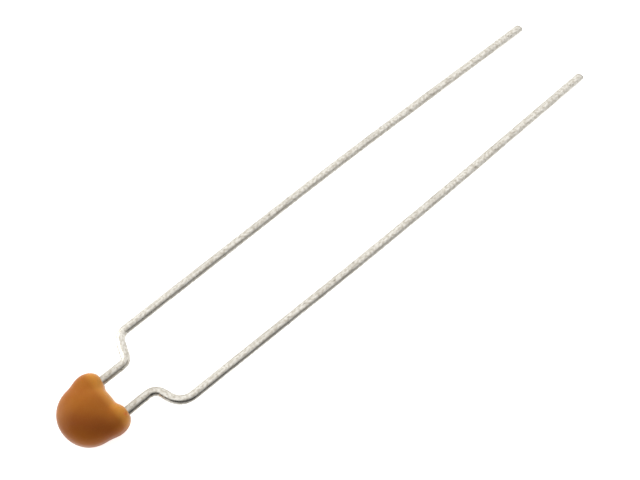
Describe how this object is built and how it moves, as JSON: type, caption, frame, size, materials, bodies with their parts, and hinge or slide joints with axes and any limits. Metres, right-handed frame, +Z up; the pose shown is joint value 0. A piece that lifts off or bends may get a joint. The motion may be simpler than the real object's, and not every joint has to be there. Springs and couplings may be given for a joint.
{
  "type": "multilayer ceramic capacitor",
  "caption": "Small dip-coated ceramic capacitor with a tooth-shaped body and kinked wire leads for a circuit board.",
  "frame": {"origin": "under the middle of the part's box, on the surface that it lies on", "axes": "+X along the leads from the coating to the tips, +Y across to the left lead, +Z up"},
  "size_m": [0.0364, 0.006, 0.0024],
  "materials": {
    "coating": "dipped and cured epoxy, ochre brown, soft gloss",
    "lead": "tinned wire, dull silver with fine draw marks",
    "solder": "solder, satin grey",
    "termination": "fired metal paste, matt",
    "ceramic": "fired ceramic, matt cream",
    "electrode": "fired metal layer, dark grey"
  },
  "bodies": {
    "root": {"coating": "coating", "lead_left": "lead", "lead_right": "lead", "solder_left": "solder", "solder_right": "solder", "termination_left": "termination", "termination_right": "termination", "ceramic_block": "ceramic", "electrode_01": "electrode", "electrode_02": "electrode", "electrode_03": "electrode", "electrode_04": "electrode", "electrode_05": "electrode", "electrode_06": "electrode", "electrode_07": "electrode", "electrode_08": "electrode", "electrode_09": "electrode", "electrode_10": "electrode", "electrode_11": "electrode", "electrode_12": "electrode", "electrode_13": "electrode", "electrode_14": "electrode"}
  },
  "joints": []
}
